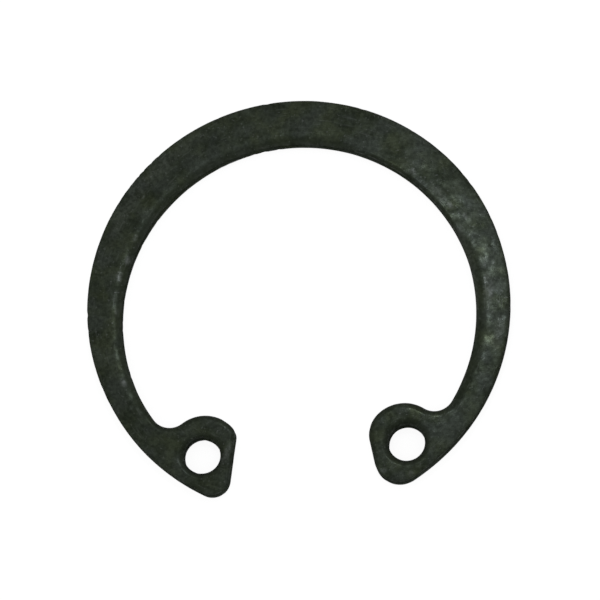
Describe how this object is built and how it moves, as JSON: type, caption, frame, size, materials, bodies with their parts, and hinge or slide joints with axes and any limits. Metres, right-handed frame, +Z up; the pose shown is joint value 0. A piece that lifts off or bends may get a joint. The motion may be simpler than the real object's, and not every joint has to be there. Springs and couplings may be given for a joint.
{
  "type": "retaining ring",
  "caption": "Flat open spring-steel ring that snaps into a groove inside a bore and holds a bearing there, with inward lugs at its gap and a plier hole through each.",
  "frame": {"origin": "on the axis of the ring's outer edge, at the level of its lower face", "axes": "+Z up through the thickness to the face with the rolled inner edge, -Y towards the gap, +X towards the right lug"},
  "size_m": [0.0234, 0.0221, 0.001],
  "materials": {
    "phosphated_steel": "satin"
  },
  "bodies": {
    "root": {"retaining_ring": "phosphated_steel"}
  },
  "joints": []
}
